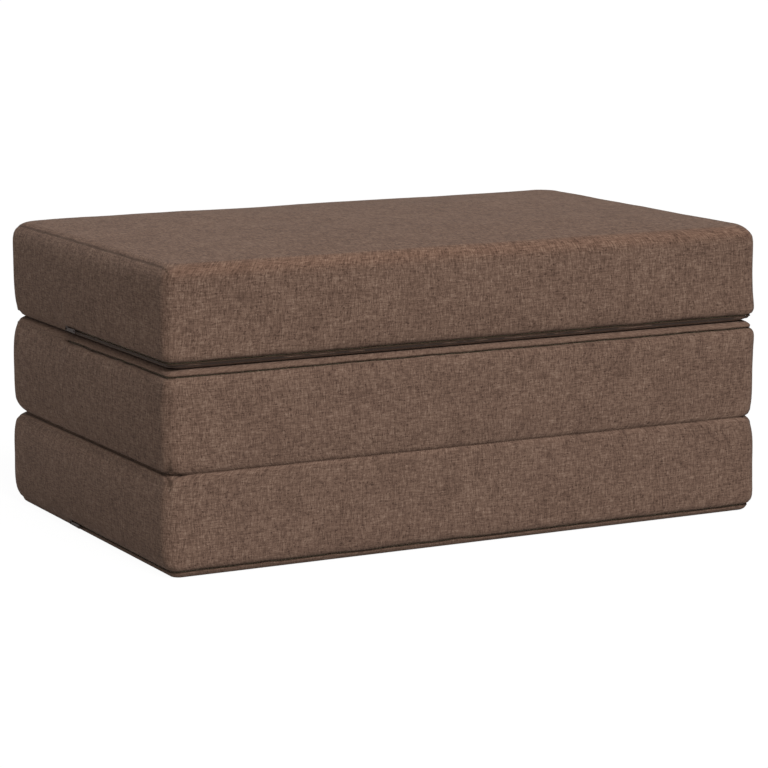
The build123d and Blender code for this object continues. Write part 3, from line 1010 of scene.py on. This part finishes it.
def stretched_noise(tree, coordinates, stretch, detail, roughness=0.5):
    """Noise whose grains have the given counts per metre along the cloth."""
    scaled = node(tree, "VectorMath", {0: coordinates, 1: stretch}, operation="MULTIPLY")
    inputs = {"Vector": scaled.outputs[0], "Scale": 1.0, "Detail": detail, "Roughness": roughness}
    return node(tree, "TexNoise", inputs).outputs["Fac"]


def new_material(name, roughness, specular, sheen=0.0, metallic=0.0):
    """Material with an empty Principled shader."""
    material = bpy.data.materials.new(name)
    material.use_nodes = True
    shader = material.node_tree.nodes["Principled BSDF"]
    shader.inputs["Roughness"].default_value = roughness
    shader.inputs["Specular IOR Level"].default_value = specular
    shader.inputs["Sheen Weight"].default_value = sheen
    shader.inputs["Metallic"].default_value = metallic
    return material, material.node_tree, shader


def add_bump(tree, shader, height, strength, distance):
    """Fine relief on a shader's surface."""
    bump = node(tree, "Bump", {"Strength": strength, "Distance": distance, "Height": height})
    tree.links.new(bump.outputs[0], shader.inputs["Normal"])


def place_in_cloth(tree):
    """Place along and across a piece's cloth, in metres."""
    return node(tree, "Attribute", attribute_name="cloth").outputs["Vector"]


def weave_height(tree, coordinates, pitch):
    """Height of a plain weave with the given thread pitch."""
    turns = 2 * math.pi / pitch
    axes = node(tree, "SeparateXYZ", {0: coordinates})
    warp = math_node(tree, "SINE", math_node(tree, "MULTIPLY", axes.outputs["X"], turns))
    weft = math_node(tree, "SINE", math_node(tree, "MULTIPLY", axes.outputs["Y"], turns))
    return math_node(tree, "MULTIPLY", warp, weft)


def melange_fabric():
    """Brown melange upholstery cloth: slubs along and across, a plain weave, painted shade in the seams
    and at the zip, and a painted warm highlight on the top's front edge.
    """
    material, tree, shader = new_material("melange_fabric", 0.95, 0.12, sheen=0.03)
    cloth = place_in_cloth(tree)
    warp = stretched_noise(tree, cloth, (600.0, 100.0, 1.0), 2.0)
    weft = stretched_noise(tree, cloth, (85.0, 560.0, 1.0), 2.0)
    grain = stretched_noise(tree, cloth, (1100.0, 900.0, 1.0), 1.0)
    blotch = stretched_noise(tree, cloth, (26.0, 18.0, 1.0), 3.0)
    specks = stretched_noise(tree, cloth, (430.0, 390.0, 1.0), 0.0)
    specks = math_node(tree, "MAXIMUM", math_node(tree, "SUBTRACT", specks, 0.62), 0.0)
    shares = [(warp, 0.70), (weft, 0.60), (grain, 0.32), (blotch, 0.16), (specks, -1.1)]
    tone = math_node(tree, "SUBTRACT", weighted_sum(tree, shares), 0.39)
    stops = [
        (0.18, (0.052, 0.030, 0.022)),
        (0.42, (0.112, 0.068, 0.050)),
        (0.58, (0.158, 0.099, 0.073)),
        (0.85, (0.270, 0.190, 0.146)),
    ]
    colour = ramp(tree, tone, stops)
    # Painted highlight: the top's rounded front edge is tinted warmer and brighter, as where the light
    # falls on it
    edge = node(tree, "Attribute", attribute_name="edge").outputs["Fac"]
    painted_highlight = node(tree, "Mix", {0: math_node(tree, "MULTIPLY", edge, 0.8), 6: colour}, data_type="RGBA")
    painted_highlight.blend_type = "MULTIPLY"
    painted_highlight.inputs[7].default_value = (1.08, 1.00, 0.95, 1)
    # Painted shade: the cloth is mixed towards dark brown in the seams' and the zip's grooves, where
    # shade falls
    seam = node(tree, "Attribute", attribute_name="seam").outputs["Fac"]
    seam_painted_shade = math_node(tree, "MULTIPLY", seam, 0.72)
    shade = node(tree, "Mix", {0: seam_painted_shade, 6: painted_highlight.outputs[2]}, data_type="RGBA")
    shade.inputs[7].default_value = (0.026, 0.015, 0.010, 1)
    tree.links.new(shade.outputs[2], shader.inputs["Base Color"])
    height = math_node(tree, "MULTIPLY", weave_height(tree, cloth, 0.0026), 0.25)
    height = math_node(tree, "ADD", height, tone)
    add_bump(tree, shader, height, strength=0.7, distance=0.0005)
    return material


def zip_cloth():
    """Dark brown twill of the zip's tapes."""
    material, tree, shader = new_material("zip_twill", 0.85, 0.2, sheen=0.05)
    cloth = place_in_cloth(tree)
    fibre = stretched_noise(tree, cloth, (2600.0, 700.0, 1.0), 2.0)
    colour = ramp(tree, fibre, [(0.3, (0.020, 0.012, 0.009)), (0.7, (0.052, 0.033, 0.025))])
    tree.links.new(colour, shader.inputs["Base Color"])
    add_bump(tree, shader, weave_height(tree, cloth, 0.0012), strength=0.6, distance=0.0002)
    return material


def zip_nylon():
    """Brown nylon coil with a rib for each tooth, and painted shade in the hollows between the ribs."""
    material, tree, shader = new_material("zip_nylon", 0.7, 0.10)
    cloth = place_in_cloth(tree)
    along = node(tree, "SeparateXYZ", {0: cloth}).outputs["X"]
    rib = math_node(tree, "SINE", math_node(tree, "MULTIPLY", along, 2 * math.pi / 0.0013))
    rib = math_node(tree, "MULTIPLY", math_node(tree, "ADD", rib, 1.0), 0.5)
    # Painted shade: the colour goes dark in the hollows between the teeth
    colour = ramp(tree, rib, [(0.1, (0.020, 0.012, 0.008)), (0.6, (0.090, 0.055, 0.038))])
    tree.links.new(colour, shader.inputs["Base Color"])
    add_bump(tree, shader, rib, strength=0.9, distance=0.0005)
    return material


def open_foam():
    """Pale polyurethane foam with its open cells."""
    material, tree, shader = new_material("open_cell_foam", 0.95, 0.15, sheen=0.1)
    place = node(tree, "TexCoord").outputs["Object"]
    cells = node(tree, "TexVoronoi", {"Vector": place, "Scale": 900.0}).outputs["Distance"]
    colour = ramp(tree, cells, [(0.05, (0.38, 0.33, 0.20)), (0.6, (0.74, 0.69, 0.50))])
    tree.links.new(colour, shader.inputs["Base Color"])
    add_bump(tree, shader, cells, strength=0.5, distance=0.0006)
    return material


def plated_metal():
    """Dark brown plated zinc with fine scratches and uneven gloss."""
    material, tree, shader = new_material("plated_zinc", 0.4, 0.03, metallic=0.25)
    place = node(tree, "TexCoord").outputs["Object"]
    scratches = stretched_noise(tree, place, (700.0, 700.0, 9000.0), 3.0, 0.7)
    patches = stretched_noise(tree, place, (260.0, 260.0, 260.0), 2.0)
    colour = ramp(tree, patches, [(0.3, (0.020, 0.013, 0.011)), (0.7, (0.052, 0.034, 0.029))])
    tree.links.new(colour, shader.inputs["Base Color"])
    worn = math_node(tree, "ADD", math_node(tree, "MULTIPLY", scratches, 0.34), 0.26)
    tree.links.new(worn, shader.inputs["Roughness"])
    add_bump(tree, shader, scratches, strength=0.25, distance=0.0001)
    return material


def dress_metal(name, material):
    """Plated metal and rounded edges for the zip's slider, pull and stops."""
    for part in ("zip_slider", "zip_pull", "zip_stops"):
        piece = bpy.data.objects[f"{name}_{part}"]
        piece.data.materials.clear()
        piece.data.materials.append(material)
        bevel = piece.modifiers.new("rounded edges", "BEVEL")
        bevel.width = BEVEL_WIDTH
        bevel.segments = 2
        bevel.limit_method = "ANGLE"
        bevel.angle_limit = BEVEL_ANGLE
        bevel.harden_normals = True


def make_camera():
    """The photograph's camera."""
    data = bpy.data.cameras.new("camera")
    data.lens = CAMERA_LENS
    camera = bpy.data.objects.new("camera", data)
    camera.location = CAMERA_PLACE
    level = Euler((math.pi / 2 - CAMERA_PITCH, 0, -CAMERA_YAW)).to_matrix()
    camera.rotation_euler = (level @ Matrix.Rotation(CAMERA_ROLL, 3, "Z")).to_euler()
    bpy.context.scene.collection.objects.link(camera)
    bpy.context.scene.camera = camera


def make_sun():
    """One wide, soft light from above the front."""
    data = bpy.data.lights.new("sun", "SUN")
    data.energy = SUN_ENERGY
    data.angle = SUN_ANGLE
    sun = bpy.data.objects.new("sun", data)
    sun.rotation_mode = "QUATERNION"
    sun.rotation_quaternion = SUN_TOWARDS.to_track_quat("Z", "Y")
    bpy.context.scene.collection.objects.link(sun)


def make_surround():
    """A surround that looks white and lights the object with a dimmer, warmer light."""
    world = bpy.data.worlds.new("surround")
    world.use_nodes = True
    bpy.context.scene.world = world
    tree = world.node_tree
    shown = seen_rays(tree)
    strength = math_node(tree, "MULTIPLY", shown, 1 - SURROUND_LIGHT)
    strength = math_node(tree, "ADD", strength, SURROUND_LIGHT)
    background = tree.nodes["Background"]
    tint = node(tree, "Mix", {0: shown}, data_type="RGBA")
    tint.inputs[6].default_value = SURROUND_TINT
    tint.inputs[7].default_value = WHITE
    tree.links.new(tint.outputs[2], background.inputs["Color"])
    tree.links.new(strength, background.inputs["Strength"])


def floor_material():
    """Pale floor that the camera sees as almost white, with the object's soft shadow."""
    material, tree, shader = new_material("pale_floor", 0.9, 0.1)
    shader.inputs["Base Color"].default_value = FLOOR_COLOUR
    glow = node(tree, "Emission", {"Color": WHITE, "Strength": FLOOR_GLOW})
    factor = math_node(tree, "MULTIPLY", seen_rays(tree), FLOOR_GLOW_SHARE)
    mixed = node(tree, "MixShader", {0: factor, 1: shader.outputs[0], 2: glow.outputs[0]})
    tree.links.new(mixed.outputs[0], tree.nodes["Material Output"].inputs["Surface"])
    return material


def make_floor():
    """The pale floor, just under the object."""
    size = FLOOR_HALF_SIZE
    corners = [(-size, -size, 0), (size, -size, 0), (size, size, 0), (-size, size, 0)]
    floor = new_object("floor", corners, [(0, 1, 2, 3)], floor_material())
    floor.location.z = -FLOOR_DROP


bpy.context.scene.view_settings.view_transform = "Standard"
make_camera()
make_sun()
make_surround()
make_floor()
fabric = melange_fabric()
foam = open_foam()
zip_materials = (zip_cloth(), zip_nylon())
metal = plated_metal()
for section_name, section in SECTIONS.items():
    panels = make_cover(section_name, section, fabric)
    for panel_name, piece in panels.items():
        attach(piece, f"{section_name}_section")
        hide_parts(f"{section_name}_{panel_name}")
    make_foam(section_name, section, foam)
    make_zip(section_name, section, zip_materials)
    dress_metal(section_name, metal)
hinge_y = HALF_DEPTH + FOLD_CLEARANCE
make_fold(("lower", "middle"), -hinge_y, HEIGHT + LAYER_GAP / 2, FRONT_STRIP, fabric)
make_fold(("middle", "upper"), hinge_y, 2 * HEIGHT + 1.5 * LAYER_GAP, REAR_STRIP, fabric)
